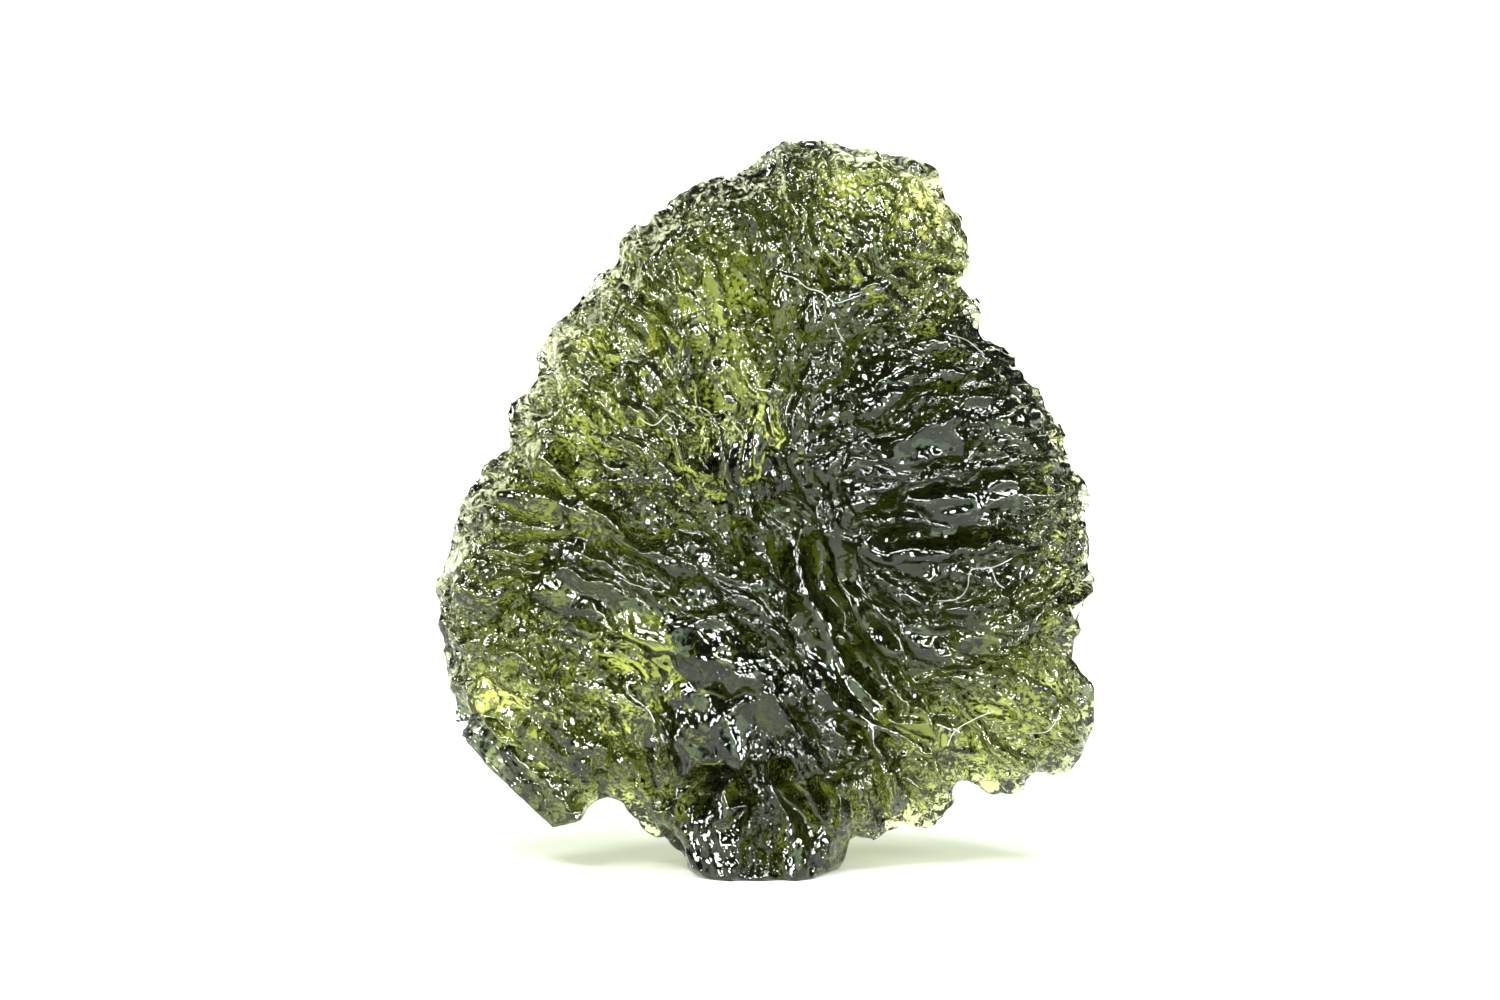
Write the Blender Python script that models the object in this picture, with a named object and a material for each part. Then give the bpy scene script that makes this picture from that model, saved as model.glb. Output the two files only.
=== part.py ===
"""A moldavite: one upright piece of natural green glass with a sculptured skin, on a small flat foot.

The stone is drawn as it is seen from the front, so X runs to the right, Z up and Y away from the viewer.
Its plan is the jagged front outline. A front face rises from a line just inside that outline, and a back
face from a smoother line further in, each as a depth over the plan. A rim joins the two faces, and a flat
cut at the bottom makes the foot. Lengths are in millimetres until the mesh is made.
"""

import math

import bmesh
import bpy
from mathutils import Vector, noise
from mathutils.geometry import delaunay_2d_cdt

MM = 0.001

# Front outline, clockwise from the top, as (x, z) above the surface that the stone rests on.
CROWN = [
    (-0.45, 19.25), (-0.05, 19.6), (0.25, 19.85), (0.65, 20.0), (1.25, 19.9), (1.7, 20.0), (2.05, 19.8),
    (2.5, 19.65), (3.15, 19.7), (3.6, 19.55), (4.15, 19.45), (4.6, 19.25), (4.85, 19.0),
]
RIGHT_SHOULDER = [
    (4.9, 18.55), (5.25, 18.05), (5.45, 17.8), (5.6, 17.3), (5.6, 16.9), (5.75, 16.5), (5.65, 16.15),
    (5.35, 15.95),
]
RIGHT_FLANK = [
    (5.65, 15.75), (6.0, 15.6), (6.1, 15.3), (6.0, 14.95), (6.05, 14.65), (6.4, 14.45), (6.7, 14.3),
    (6.9, 13.9), (7.15, 13.5), (7.6, 13.25), (7.85, 12.85), (7.9, 12.35), (8.25, 12.05), (8.35, 11.6),
    (8.5, 11.3), (8.35, 11.05), (8.6, 10.9), (8.95, 10.6), (9.1, 10.1), (8.9, 9.7), (8.95, 9.1), (9.0, 8.3),
    (9.15, 7.9), (8.9, 7.4), (8.65, 7.05), (8.75, 6.65), (8.55, 6.3), (8.4, 5.85),
]
LOWER_RIGHT_LOBE = [
    (8.65, 5.55), (9.05, 5.15), (9.1, 4.5), (9.1, 3.85), (8.75, 3.25), (8.6, 2.75), (8.1, 2.55), (7.6, 2.6),
    (7.25, 2.4), (7.3, 2.15), (6.8, 2.0), (6.2, 2.1), (5.85, 2.35), (5.5, 2.45), (5.25, 2.25), (5.3, 1.8),
    (5.1, 1.65), (5.0, 1.3), (4.6, 1.1), (4.3, 1.05), (4.0, 1.2), (3.5, 1.0), (3.05, 0.75), (2.7, 0.85),
    (2.35, 0.8),
]
FOOT_END = [(2.2, 0.1), (2.1, -1.8), (1.9, -3.6), (-1.8, -3.6), (-2.0, -1.8), (-2.1, 0.1)]
LOWER_LEFT = [
    (-2.45, 0.6), (-2.9, 0.85), (-3.35, 1.1), (-3.6, 1.4), (-3.9, 1.8), (-4.3, 1.9), (-4.6, 1.75),
    (-4.8, 1.5), (-5.2, 1.35), (-5.7, 1.2), (-6.15, 1.6), (-6.55, 1.95), (-7.1, 2.4), (-7.5, 2.75),
    (-7.9, 3.2), (-8.3, 3.6),
]
LEFT_FLANK = [
    (-8.5, 4.1), (-8.35, 4.6), (-8.5, 4.95), (-8.65, 5.2), (-8.65, 5.85), (-8.8, 6.3), (-8.95, 6.6),
    (-8.85, 7.3), (-8.95, 7.75), (-8.85, 8.2), (-8.65, 8.65), (-8.55, 9.2), (-8.35, 9.75), (-8.3, 10.05),
    (-8.0, 10.5), (-7.75, 10.85), (-7.6, 11.15), (-7.25, 11.4), (-6.8, 11.6), (-6.95, 11.8), (-6.95, 12.2),
    (-6.95, 12.6), (-6.9, 12.85), (-6.5, 13.0), (-6.35, 13.25), (-6.15, 13.5), (-6.1, 13.8), (-6.2, 14.05),
    (-6.0, 14.25), (-5.85, 14.55), (-5.8, 14.9), (-5.45, 15.2), (-5.05, 15.4), (-4.95, 15.8), (-4.65, 16.15),
    (-4.55, 16.35), (-4.15, 16.45), (-3.95, 16.65), (-3.95, 17.15), (-3.7, 17.55), (-3.5, 17.75),
    (-3.25, 17.65), (-2.95, 17.95), (-2.7, 18.0), (-2.6, 18.3), (-2.1, 18.6), (-1.45, 18.95), (-0.85, 19.0),
]
OUTLINE = [*CROWN, *RIGHT_SHOULDER, *RIGHT_FLANK, *LOWER_RIGHT_LOBE, *FOOT_END, *LOWER_LEFT, *LEFT_FLANK]

# The front face starts just inside the outline, and the back face further in, on a smoother line.
FRONT_INSET = 0.16
BACK_INSET = 0.75
BACK_LINE_SMOOTHING = 8
CELL = 0.52
LEAST_GAP_TO_BORDER = 0.34
MERGE_DISTANCE = 1e-6
INSIDE_ONLY = 1

# Each face rises from a blunt rim to its full depth over the shoulder's width.
RIM_FRONT = 0.4
RIM_BACK = 0.95
SHOULDER_WIDTH = 2.9
SHOULDER_POWER = 2.3
FRONT_DEPTH = 2.25
BACK_DEPTH = 2.8
LEAST_DEPTH = 0.22

# The stone's lower end is a stout lobe. The rim swells there, and the foot is the flat under it.
FOOT_FRONT = 0.35
FOOT_BACK = 1.3
FOOT_REACH_X = 2.9
FOOT_REACH_Z = 2.4

# The middle of the rim bows back and forth, as the rim of a splash of glass does.
BOW_CENTRE = (0.0, 9.5)
BOW_UP_PER_MM2 = 0.007
BOW_ACROSS_PER_MM2 = -0.0035
TWIST_PER_MM2 = 0.006

# Round swells and hollows of each face, as (x, z, radius, height outwards).
FRONT_SWELLS = [
    (3.6, 17.4, 2.0, 0.55),
    (4.6, 10.8, 3.4, 0.65),
    (-4.3, 12.2, 3.0, 0.45),
    (-6.0, 5.0, 1.9, 0.55),
    (-0.4, 2.6, 2.6, 1.0),
    (6.4, 3.9, 1.9, -0.55),
    (0.4, 9.2, 1.8, -0.75),
    (-0.3, 13.2, 1.3, -0.4),
    (2.7, 5.6, 1.7, -0.45),
]
BACK_SWELLS = [
    (3.0, 9.6, 3.2, 0.7),
    (-1.2, 6.0, 2.8, 0.4),
    (-0.2, 2.4, 2.6, 0.6),
    (-5.2, 9.6, 2.4, 0.7),
    (-5.4, 13.0, 2.0, -0.6),
    (1.6, 17.2, 2.4, -0.9),
    (6.2, 4.0, 2.6, -1.6),
    (-6.0, 4.4, 2.2, -0.8),
    (0.0, 12.6, 1.7, -0.5),
]

# Crests and furrows of each face, as a route of (x, z) points, a half width and a height outwards.
FRONT_CRESTS = [
    ([(-7.9, 8.3), (-5.5, 7.7), (-3.4, 6.4), (-1.2, 6.1), (0.6, 5.1), (1.3, 3.6)], 0.55, 0.5),
    ([(-0.6, 15.6), (-0.3, 13.0), (0.6, 10.6), (1.6, 8.0), (2.9, 5.0)], 0.6, -0.5),
    ([(-7.6, 4.9), (-5.4, 4.2), (-3.4, 3.0)], 0.5, -0.35),
    ([(1.4, 10.4), (4.0, 10.1), (7.6, 10.6)], 0.5, -0.3),
    ([(1.0, 12.6), (3.2, 14.4), (5.2, 15.6)], 0.6, -0.35),
    ([(1.8, 8.4), (4.6, 7.7), (7.8, 8.2)], 0.5, -0.3),
]
BACK_CRESTS = [
    ([(-6.8, 10.8), (-3.0, 9.6), (0.4, 8.6), (4.4, 6.4), (7.4, 6.0)], 0.7, -0.55),
    ([(-1.8, 17.4), (-1.2, 13.6), (-2.0, 10.4), (-3.6, 6.2)], 0.7, -0.45),
    ([(4.6, 16.6), (3.6, 13.2), (4.8, 9.8), (4.0, 5.4)], 0.8, 0.4),
    ([(-5.4, 3.0), (-1.6, 4.6), (2.2, 3.6)], 0.7, 0.35),
]

# Waves of the skin, as a wavelength and a height. The ribs fan out from the stone's middle.
FAN_CENTRE = (0.5, 9.4)
FAN_RIBS = 34
FAN_HEIGHT = 0.12
FAN_START = 1.6
FAN_WANDER = 0.5
FAN_WANDER_LENGTH = 2.9
LUMPS = [(3.4, 0.3), (1.3, 0.16)]
FRONT_NOISE = 3.7
BACK_NOISE = 41.3

GLASS_GREEN = (0.13, 0.17, 0.03, 1.0)
GLASS_ROUGHNESS = 0.12
GLASS_IOR = 1.49


def start_clean():
    for obj in list(bpy.data.objects):
        bpy.data.objects.remove(obj, do_unlink=True)


def closed(line):
    return [*line, line[0]]


def segment_distance(x, z, start, end):
    """Distance from (x, z) to the straight line between two points."""
    along_x = end[0] - start[0]
    along_z = end[1] - start[1]
    share = ((x - start[0]) * along_x + (z - start[1]) * along_z) / (along_x**2 + along_z**2)
    share = min(1.0, max(0.0, share))
    return math.hypot(x - start[0] - share * along_x, z - start[1] - share * along_z)


def route_distance(x, z, route):
    return min(segment_distance(x, z, a, b) for a, b in zip(route, route[1:]))


def inside(x, z, border):
    """True if (x, z) is inside the border, by counting the edges that a line to the right crosses."""
    crossed = False
    for (ax, az), (bx, bz) in zip(border, closed(border)[1:]):
        if (az > z) != (bz > z) and x < ax + (z - az) * (bx - ax) / (bz - az):
            crossed = not crossed
    return crossed


def inset(line, distance):
    """The line's corners moved inwards, along the mean normal of the two edges that meet there."""
    moved = []
    for before, here, after in zip([line[-1], *line], line, closed(line)[1:]):
        along = Vector((after[0] - before[0], after[1] - before[1])).normalized()
        moved.append((here[0] + distance * along.y, here[1] - distance * along.x))
    return moved


def smoothed(line, rounds):
    """The line with each corner drawn to the middle of its neighbours, a number of times."""
    for _ in range(rounds):
        line = [
            ((before[0] + 2 * here[0] + after[0]) / 4, (before[1] + 2 * here[1] + after[1]) / 4)
            for before, here, after in zip([line[-1], *line], line, closed(line)[1:])
        ]
    return line


def foot_share(x, z):
    """1 over the foot, falling to 0 away from it."""
    return math.exp(-((x / FOOT_REACH_X) ** 4) - (max(z, 0.0) / FOOT_REACH_Z) ** 2)


def middle(x, z):
    """How far back the middle of the rim lies. Over the foot it is brought back under the stone."""
    away_x = x - BOW_CENTRE[0]
    away_z = z - BOW_CENTRE[1]
    bowed = BOW_UP_PER_MM2 * away_z**2 + BOW_ACROSS_PER_MM2 * away_x**2 + TWIST_PER_MM2 * away_x * away_z
    return bowed * (1.0 - foot_share(x, z))


def shoulder(distance):
    """How much of its full depth a face has reached, this far in from its border."""
    left = 1.0 - min(distance / SHOULDER_WIDTH, 1.0)
    return (1.0 - left**SHOULDER_POWER) ** (1.0 / SHOULDER_POWER)


def swells(x, z, forms):
    return sum(
        height * math.exp(-((x - cx) ** 2 + (z - cz) ** 2) / radius**2) for cx, cz, radius, height in forms
    )


def crests(x, z, forms):
    return sum(
        height * math.exp(-((route_distance(x, z, route) / width) ** 2)) for route, width, height in forms
    )


def fan(x, z, offset):
    """Ribs that fan out from the middle, each wandering a little."""
    away_x = x - FAN_CENTRE[0]
    away_z = z - FAN_CENTRE[1]
    wander = noise.noise(Vector((x / FAN_WANDER_LENGTH, offset, z / FAN_WANDER_LENGTH)))
    angle = math.atan2(away_z, away_x) + FAN_WANDER * wander
    fade = min(math.hypot(away_x, away_z) / FAN_START, 1.0) ** 2
    return FAN_HEIGHT * fade * math.sin(FAN_RIBS * angle)


def lumps(x, z, offset):
    total = 0.0
    for wavelength, height in LUMPS:
        total += height * noise.noise(Vector((x / wavelength, offset, z / wavelength)))
    return total


class Face:
    """One face of the stone: its border line, and its depth from the middle over the plan."""

    def __init__(self, border, side, rim, foot, depth, swell_forms, crest_forms, offset):
        self.border = border
        self.side = side
        self.rim = rim
        self.foot = foot
        self.depth = depth
        self.swell_forms = swell_forms
        self.crest_forms = crest_forms
        self.offset = offset

    def border_distance(self, x, z):
        return route_distance(x, z, closed(self.border))

    def y(self, x, z):
        risen = shoulder(self.border_distance(x, z))
        rim = self.rim + (self.foot - self.rim) * foot_share(x, z)
        relief = swells(x, z, self.swell_forms) + crests(x, z, self.crest_forms)
        relief += fan(x, z, self.offset) + lumps(x, z, self.offset)
        depth = max(rim + risen * (self.depth - self.rim + relief), LEAST_DEPTH)
        return middle(x, z) + self.side * depth

    def plan(self):
        """The border's points, then those of a triangular grid inside it."""
        low_x, high_x = min(p[0] for p in self.border), max(p[0] for p in self.border)
        low_z, high_z = min(p[1] for p in self.border), max(p[1] for p in self.border)
        row_height = CELL * math.sqrt(3) / 2
        found = list(self.border)
        for row in range(int((high_z - low_z) / row_height) + 1):
            z = low_z + row * row_height
            shift = CELL / 2 * (row % 2)
            for column in range(int((high_x - low_x) / CELL) + 1):
                x = low_x + shift + column * CELL
                if inside(x, z, self.border) and self.border_distance(x, z) > LEAST_GAP_TO_BORDER:
                    found.append((x, z))
        return found

    def add(self, mesh):
        """Adds the face to the mesh and returns its border's corners."""
        count = len(self.border)
        border_edges = [(i, (i + 1) % count) for i in range(count)]
        plan = [Vector(point) for point in self.plan()]
        points, _, triangles, *_ = delaunay_2d_cdt(plan, border_edges, [], INSIDE_ONLY, MERGE_DISTANCE)
        corners = [mesh.verts.new((x * MM, self.y(x, z) * MM, z * MM)) for x, z in points]
        for triangle in triangles:
            mesh.faces.new([corners[i] for i in triangle])
        return corners[:count]


def rim_strip(mesh, first, second):
    """Joins two closed loops of the same number of corners."""
    count = len(first)
    for i in range(count):
        j = (i + 1) % count
        mesh.faces.new((first[i], second[i], second[j], first[j]))


def cut_foot(mesh):
    """Cuts the stone off flat at the surface that it rests on."""
    cut = bmesh.ops.bisect_plane(
        mesh,
        geom=[*mesh.verts, *mesh.edges, *mesh.faces],
        dist=MERGE_DISTANCE * MM,
        plane_co=(0, 0, 0),
        plane_no=(0, 0, -1),
        clear_outer=True,
    )
    loop = [item for item in cut["geom_cut"] if isinstance(item, bmesh.types.BMEdge)]
    bmesh.ops.edgeloop_fill(mesh, edges=loop)


def glass():
    material = bpy.data.materials.new("moldavite_glass")
    material.use_nodes = True
    shader = material.node_tree.nodes["Principled BSDF"]
    shader.inputs["Base Color"].default_value = GLASS_GREEN
    shader.inputs["Roughness"].default_value = GLASS_ROUGHNESS
    shader.inputs["Metallic"].default_value = 0.0
    shader.inputs["IOR"].default_value = GLASS_IOR
    return material


def front_face():
    border = inset(OUTLINE, FRONT_INSET)
    return Face(border, -1, RIM_FRONT, FOOT_FRONT, FRONT_DEPTH, FRONT_SWELLS, FRONT_CRESTS, FRONT_NOISE)


def back_face():
    border = inset(smoothed(OUTLINE, BACK_LINE_SMOOTHING), BACK_INSET)
    border = smoothed(border, BACK_LINE_SMOOTHING)
    return Face(border, 1, RIM_BACK, FOOT_BACK, BACK_DEPTH, BACK_SWELLS, BACK_CRESTS, BACK_NOISE)


def build_stone():
    mesh = bmesh.new()
    front_loop = front_face().add(mesh)
    back_loop = back_face().add(mesh)
    edge_loop = [mesh.verts.new((x * MM, middle(x, z) * MM, z * MM)) for x, z in OUTLINE]
    rim_strip(mesh, front_loop, edge_loop)
    rim_strip(mesh, edge_loop, back_loop)
    cut_foot(mesh)
    bmesh.ops.triangulate(mesh, faces=mesh.faces[:])
    bmesh.ops.recalc_face_normals(mesh, faces=mesh.faces[:])

    data = bpy.data.meshes.new("moldavite")
    mesh.to_mesh(data)
    mesh.free()
    data.materials.append(glass())
    data.shade_smooth()
    stone = bpy.data.objects.new("moldavite", data)
    bpy.context.scene.collection.objects.link(stone)


start_clean()
build_stone()
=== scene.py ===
"""The looks of the moldavite: its grooved and pitted skin, its green glass, and a pale studio around it."""

import math
from typing import NamedTuple

import bpy
import numpy as np
from bpy.props import FloatProperty, FloatVectorProperty, IntProperty, PointerProperty
from mathutils import Matrix, Vector, noise


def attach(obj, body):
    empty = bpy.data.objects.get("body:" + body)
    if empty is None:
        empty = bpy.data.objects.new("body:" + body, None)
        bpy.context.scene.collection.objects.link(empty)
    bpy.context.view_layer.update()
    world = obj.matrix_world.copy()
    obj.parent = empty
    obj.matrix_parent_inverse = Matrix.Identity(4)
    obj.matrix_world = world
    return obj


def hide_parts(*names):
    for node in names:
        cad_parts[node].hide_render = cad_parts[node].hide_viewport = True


bl_info = {
    "name": "Moldavite",
    "version": (1, 0, 0),
    "blender": (4, 5, 0),
    "location": "View3D > Sidebar > Moldavite",
    "description": "Sculpts a moldavite's skin, makes its glass and sets up a studio for it",
    "category": "Object",
}

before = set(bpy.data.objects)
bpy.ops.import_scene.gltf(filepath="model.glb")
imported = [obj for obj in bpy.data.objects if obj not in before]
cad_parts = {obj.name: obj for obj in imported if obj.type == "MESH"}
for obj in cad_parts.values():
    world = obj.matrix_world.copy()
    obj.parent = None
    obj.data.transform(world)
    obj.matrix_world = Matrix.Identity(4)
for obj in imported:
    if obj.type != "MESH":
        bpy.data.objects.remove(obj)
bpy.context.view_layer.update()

NODE = "moldavite"
SLOT = "moldavite_glass"
STONE = "glass_stone"
BODY = "root"

MM = 0.001
PER_MM = 1000.0

# The picture's frame, and the scale and place of the stone in it, in the photo's pixels.
PHOTO_WIDTH = 1500
PHOTO_HEIGHT = 1000
PIXELS_PER_MM = 36.8
FOOT_PIXEL = (762, 872)

# How the skin runs on the front: (x, z) in mm, the ridges' direction in degrees, and the ridges' relief
# and the grain's, both as shares of their full height.
FRONT_SKIN = [
    (0.5, 18.3, -70, 0.6, 0.9), (2.4, 17.7, -50, 0.7, 0.6), (4.6, 18.0, -50, 0.8, 0.6),
    (-1.7, 16.9, -65, 0.8, 0.4), (-3.9, 15.5, -58, 1.0, 0.3), (0.0, 15.5, -85, 0.5, 0.8),
    (4.8, 15.8, 25, 0.8, 0.7), (3.75, 14.5, 22, 1.0, 0.4), (5.9, 14.5, 12, 1.0, 0.4),
    (-5.5, 13.4, -42, 1.0, 0.25), (-3.0, 12.8, -58, 1.0, 0.2), (-1.4, 12.8, -68, 1.0, 0.25),
    (2.7, 12.8, 35, 0.5, 0.9), (5.1, 12.8, 20, 1.0, 0.6), (7.3, 12.3, 10, 1.0, 0.5),
    (-7.7, 11.5, -30, 0.9, 0.3), (-5.5, 10.9, -22, 1.0, 0.7), (-3.3, 10.7, -38, 1.0, 0.7),
    (0.0, 11.5, -85, 0.8, 0.8), (3.75, 11.2, 10, 1.0, 0.8), (6.5, 10.9, 6, 1.0, 0.5),
    (-7.9, 8.75, -5, 0.9, 0.4), (-5.5, 9.0, -12, 1.0, 0.8), (-2.8, 9.0, -35, 0.8, 1.0),
    (1.0, 9.0, -58, 1.0, 0.5), (4.3, 9.3, 0, 1.0, 0.7), (7.0, 9.0, 5, 1.0, 0.8),
    (-7.1, 6.85, -15, 0.7, 0.9), (-4.4, 7.1, -25, 0.5, 0.4), (-1.7, 7.4, -20, 0.3, 0.7),
    (-0.6, 6.3, -15, 0.2, 0.2), (0.8, 6.85, -62, 0.6, 0.7), (2.1, 7.1, -58, 1.0, 0.2),
    (4.8, 7.4, -5, 1.0, 0.6), (7.8, 7.7, 20, 1.0, 0.4), (-5.5, 4.7, -25, 0.5, 0.7),
    (-7.1, 3.6, -38, 0.4, 0.2), (-3.9, 4.1, -30, 0.7, 0.5), (-1.7, 4.7, -75, 0.4, 0.3),
    (3.2, 5.2, -50, 1.0, 0.3), (5.4, 5.8, -8, 1.0, 0.5), (1.6, 3.6, -65, 0.7, 0.8),
    (-2.2, 2.0, -85, 0.8, 0.4), (0.0, 2.0, 90, 1.0, 0.5), (3.75, 3.0, -70, 0.9, 0.3),
    (-1.6, 0.8, -85, 0.8, 0.9), (0.8, 0.8, 90, 0.8, 0.9),
    (5.4, 3.6, -60, 0.8, 0.3), (7.55, 4.7, -30, 0.6, 0.6),
]

# The same for the back.
BACK_SKIN = [
    (0.0, 18.0, -80, 0.8, 0.4), (3.5, 16.0, 50, 0.8, 0.5), (-4.0, 14.5, -50, 0.9, 0.4),
    (0.0, 12.5, -80, 0.7, 0.6), (5.5, 12.0, 25, 1.0, 0.4), (-6.0, 10.0, -15, 1.0, 0.4),
    (2.5, 9.0, -20, 0.7, 0.6), (7.0, 8.0, -5, 0.9, 0.4), (-2.5, 7.5, 30, 0.8, 0.5),
    (-6.0, 5.0, 35, 0.9, 0.4), (1.0, 4.5, -75, 0.9, 0.4), (5.5, 4.5, -45, 0.8, 0.4),
    (0.0, 1.5, 90, 0.9, 0.4),
]

# How far each of those places reaches, in mm.
SKIN_SPREAD = 1.3

# How the skin's lines wander from their straight courses: wavelength and height in mm, and seed.
WANDERS = [(1.6, 0.25, 31), (0.5, 0.1, 32)]

# From where a surface starts to count as front, back or rim, to where it counts in full, by its normal's Y.
FRONT_FACING = (0.1, -0.3)
BACK_FACING = (-0.1, 0.3)
RIM_FACING = (0.65, 0.2)

# The same, for where the skin runs as on the front, and how steeply its lines cross the rim.
FRONT_SKIN_FACING = (0.2, -0.2)
RIM_CROSSING = 0.6


class Layer(NamedTuple):
    """How the plates of one size are laid: lengths in mm, tilts and depths in shares of the relief."""

    pitch: float
    length: float
    width: float
    tilt: float
    lean: float
    groove: float
    groove_depth: float
    sharpness: float
    seed: int


# The skin's plates, from the largest to the smallest.
SLABS = Layer(
    pitch=1.35, length=2.1, width=0.6, tilt=0.7, lean=0.3,
    groove=0.22, groove_depth=0.9, sharpness=8.0, seed=21,
)
PLATES = Layer(
    pitch=0.75, length=1.05, width=0.4, tilt=0.7, lean=0.4,
    groove=0.25, groove_depth=1.0, sharpness=7.0, seed=22,
)
RIDGES = Layer(
    pitch=0.36, length=0.45, width=0.2, tilt=0.7, lean=0.3,
    groove=0.3, groove_depth=1.2, sharpness=6.0, seed=23,
)

# The lowest and highest plate, the shortest and longest as shares of the usual length, how many lengths away
# a plate still counts, and how far the skin may turn from a plate's own facing.
PLATE_LEVELS = (-1.0, 1.0)
PLATE_STRETCHES = (0.7, 1.35)
PLATE_REACH = 1.6
LEAST_FACING = 0.1

# The pits' pitch and usual radius in mm, and the range of their sizes and depths.
PIT_PITCH = 0.26
PIT_RADIUS = 0.21
PIT_SIZES = (0.6, 1.3)
PIT_DEPTHS = (0.4, 1.0)
PIT_SEED = 24

# How much of each relief is lost at the rim, on the smooth stretches and on the facets, and how smooth a
# facet is.
SLABS_LOST_AT_RIM = 0.8
SLABS_LOST_WHERE_CALM = 0.75
SLABS_LOST_ON_FACETS = 0.5
RIDGES_LOST_AT_RIM = 0.6
RIDGES_LOST_WHERE_CALM = 0.8
PITS_LOST_AT_RIM = 0.5
PITS_LOST_WHERE_CALM = 0.95
FACET_CALM = 0.7

# The level at which the skin is bare of ridges or pits, and the lower one at which it is full of them. The
# slabs make this share of the level, and the plates the rest.
RIDGED_LEVELS = (0.5, -0.1)
PITTED_LEVELS = (0.35, -0.25)
SLAB_SHARE_OF_LEVEL = 0.6

# How strongly grain lowers the level for the pits, and the share of grain that leaves it as it is.
GRAIN_PULL = 1.6
GRAIN_MIDDLE = 0.7

# How much of the plates' relief is left where the skin has no ridges.
PLATES_WITHOUT_RIDGES = 0.4

# From what depth in mm a single groove gets painted shade in clear glass to where that shade is darkest, how
# dark the painted shade in the gaps between slabs and between plates is, and how much the plates' levels vary
# the painted shade.
GROOVE_DEPTHS_PAINTED_SHADE = (0.05, 0.3)
SLAB_GAP_PAINTED_SHADE = 0.85
PLATE_GAP_PAINTED_SHADE = 0.35
PLATE_LUMPS = 0.45

# The power that lets half clear places look clearer, with less painted shade.
CLEAR_POWER = 0.75

# How much the smallest facets show along the plates' edges, and how much of that a smooth stretch loses.
EDGE_FACETS = 0.7
EDGES_LOST_WHERE_CALM = 0.7

# The soft edges of the painted-shade stretches, smooth stretches and facets, from outside to inside or the
# other way round, in half widths.
PAINTED_SHADE_EDGE = (0.5, 1.3)
CALM_EDGE = (1.25, 0.7)
FACET_EDGE = (1.1, 0.85)

# The section of a groove or crest, as its reach in half widths and a power, and how it fades at its ends,
# as distances in mm and the share that is left. A hole's section is a power too.
STROKE_REACH = 1.45
STROKE_POWER = 1.3
STROKE_FADE = (0.0, 0.6)
STROKE_LEFT_AT_END = 0.3
HOLE_POWER = 1.5

# In mm: the heights between which the skin sets in above the foot, the cells in which the thickness is
# measured, and the distance at which the solid's corners are one.
FOOT_BLEND = (0.02, 0.3)
THICKNESS_CELL = 0.3
JOIN_DISTANCE = 0.001

# A distance past which nothing matters, and a number that keeps a sum from being nothing.
FAR = 9.0
TINY = 1e-9

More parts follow.
